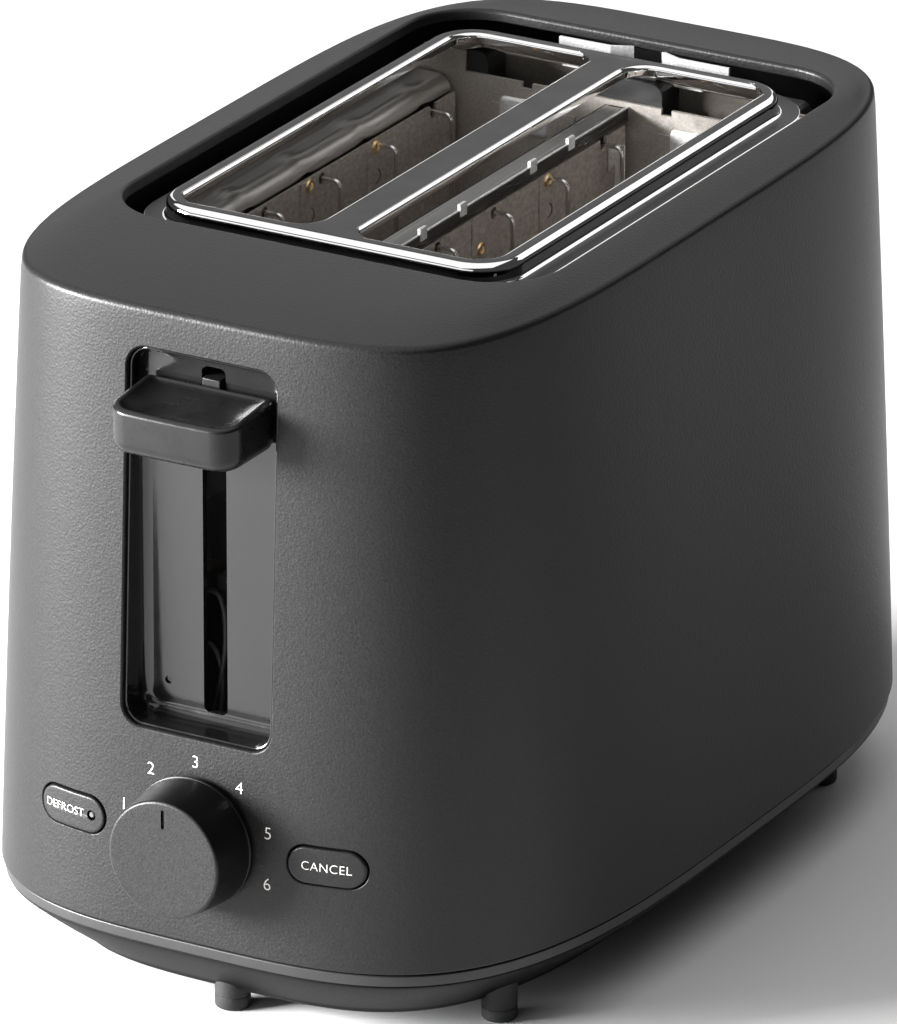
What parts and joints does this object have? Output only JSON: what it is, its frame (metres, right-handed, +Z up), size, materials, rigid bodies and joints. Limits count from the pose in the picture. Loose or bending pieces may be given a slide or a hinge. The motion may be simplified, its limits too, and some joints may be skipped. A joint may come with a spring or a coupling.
{
  "type": "pop up toaster",
  "caption": "Two-slot pop-up toaster with a side-tapered housing, front carriage lever, browning knob, buttons, steel top and crumb tray.",
  "frame": {"origin": "on the ground, under the middle of the object's box", "axes": "+Z up; -Y is the front with the lever and knob; +X is to the right seen from the front"},
  "size_m": [0.1668, 0.2744, 0.1851],
  "materials": {
    "housing_plastic": "fine leather-like moulded grain, matt charcoal black",
    "base_plastic": "fine moulded grain, matt black",
    "gloss_plastic": "polished black",
    "knob_plastic": "satin black",
    "foot_rubber": "matt dark rubber",
    "polished_steel": "mirror polished stainless steel",
    "sheet_steel": "plain rolled sheet steel",
    "mica_sheet": "speckled brown-grey mica",
    "dark_plastic": "plain dark moulding",
    "circuit_board": "green solder mask",
    "copper_wire": "enamelled copper winding",
    "clear_plastic": "milky clear light pipe"
  },
  "bodies": {
    "chassis": {"base_screw_front_left": "sheet_steel", "base_screw_front_right": "sheet_steel", "base_screw_rear_left": "sheet_steel", "base_screw_rear_right": "sheet_steel", "base_shell": "base_plastic", "cancel_switch": "dark_plastic", "centre_bracket": "sheet_steel", "chassis_floor": "sheet_steel", "control_board": "circuit_board", "cord_gland": "dark_plastic", "cover_clip_left": "polished_steel", "cover_clip_right": "polished_steel", "cover_spacer_centre": "dark_plastic", "cover_spacer_left": "dark_plastic", "cover_spacer_right": "dark_plastic", "defrost_switch": "dark_plastic", "foot_front_centre": "foot_rubber", "foot_front_left": "foot_rubber", "foot_front_right": "foot_rubber", "foot_rear_left": "foot_rubber", "foot_rear_right": "foot_rubber", "front_end_plate": "sheet_steel", "front_recess_panel": "gloss_plastic", "guide_bracket": "sheet_steel", "guide_rod_left": "sheet_steel", "guide_rod_right": "sheet_steel", "heater_board_left_inner": "mica_sheet", "heater_board_left_outer": "mica_sheet", "heater_board_right_inner": "mica_sheet", "heater_board_right_outer": "mica_sheet", "lift_spring": "sheet_steel", "magnet_coil": "copper_wire", "magnet_core": "sheet_steel", "outer_housing": "housing_plastic", "potentiometer": "dark_plastic", "rear_end_plate": "sheet_steel", "rear_heat_shield": "mica_sheet", "side_panel_left": "sheet_steel", "side_panel_right": "sheet_steel", "top_cover": "polished_steel"},
    "carriage": {"lever_knob": "knob_plastic", "lever_arm": "sheet_steel", "carriage_plate": "sheet_steel", "armature_plate": "sheet_steel", "carriage_bush_left": "dark_plastic", "carriage_bush_right": "dark_plastic", "bread_lifter_left": "sheet_steel", "bread_lifter_right": "sheet_steel"},
    "browning_knob": {"browning_knob": "knob_plastic"},
    "defrost_button": {"defrost_button": "housing_plastic", "defrost_light_pipe": "clear_plastic"},
    "cancel_button": {"cancel_button": "housing_plastic"},
    "crumb_tray": {"crumb_tray": "sheet_steel"},
    "bread_guard_left_outer": {"bread_guard_left_outer": "polished_steel"},
    "bread_guard_left_inner": {"bread_guard_left_inner": "polished_steel"},
    "bread_guard_right_inner": {"bread_guard_right_inner": "polished_steel"},
    "bread_guard_right_outer": {"bread_guard_right_outer": "polished_steel"}
  },
  "joints": [
    {"name": "carriage_slide", "type": "slide", "parent": "chassis", "child": "carriage", "axis": [0, 0, 1], "range_m": [-0.068, 0.0015], "stiffness_N_per_m": 150, "springref_m": 0.00683, "deforming": ["lift_spring"]},
    {"name": "browning_turn", "type": "hinge", "parent": "chassis", "child": "browning_knob", "pos_m": [0.00045, -0.13045, 0.0509], "axis": [0, -1, 0], "range_deg": [-112.5, 75]},
    {"name": "defrost_press", "type": "slide", "parent": "chassis", "child": "defrost_button", "axis": [0, 1, 0], "range_m": [0, 0.0015], "stiffness_N_per_m": 600},
    {"name": "cancel_press", "type": "slide", "parent": "chassis", "child": "cancel_button", "axis": [0, 1, 0], "range_m": [0, 0.0015], "stiffness_N_per_m": 600},
    {"name": "tray_slide", "type": "slide", "parent": "chassis", "child": "crumb_tray", "axis": [0, 1, 0], "range_m": [0, 0.16]},
    {"name": "bread_guard_left_outer_tilt", "type": "hinge", "parent": "chassis", "child": "bread_guard_left_outer", "pos_m": [-0.0403, 0.00505, 0.046], "axis": [0, 1, 0], "range_deg": [-0.4, 2.3]},
    {"name": "bread_guard_left_inner_tilt", "type": "hinge", "parent": "chassis", "child": "bread_guard_left_inner", "pos_m": [-0.0087, 0.00505, 0.046], "axis": [0, -1, 0], "range_deg": [-0.4, 2.3]},
    {"name": "bread_guard_right_inner_tilt", "type": "hinge", "parent": "chassis", "child": "bread_guard_right_inner", "pos_m": [0.0087, 0.00505, 0.046], "axis": [0, 1, 0], "range_deg": [-0.4, 2.3]},
    {"name": "bread_guard_right_outer_tilt", "type": "hinge", "parent": "chassis", "child": "bread_guard_right_outer", "pos_m": [0.0403, 0.00505, 0.046], "axis": [0, -1, 0], "range_deg": [-0.4, 2.3]}
  ],
  "couplings": [
    {"joint": "bread_guard_left_outer_tilt", "follows": "carriage_slide", "rad_per_m": -0.56},
    {"joint": "bread_guard_left_inner_tilt", "follows": "carriage_slide", "rad_per_m": -0.56},
    {"joint": "bread_guard_right_inner_tilt", "follows": "carriage_slide", "rad_per_m": -0.56},
    {"joint": "bread_guard_right_outer_tilt", "follows": "carriage_slide", "rad_per_m": -0.56}
  ]
}
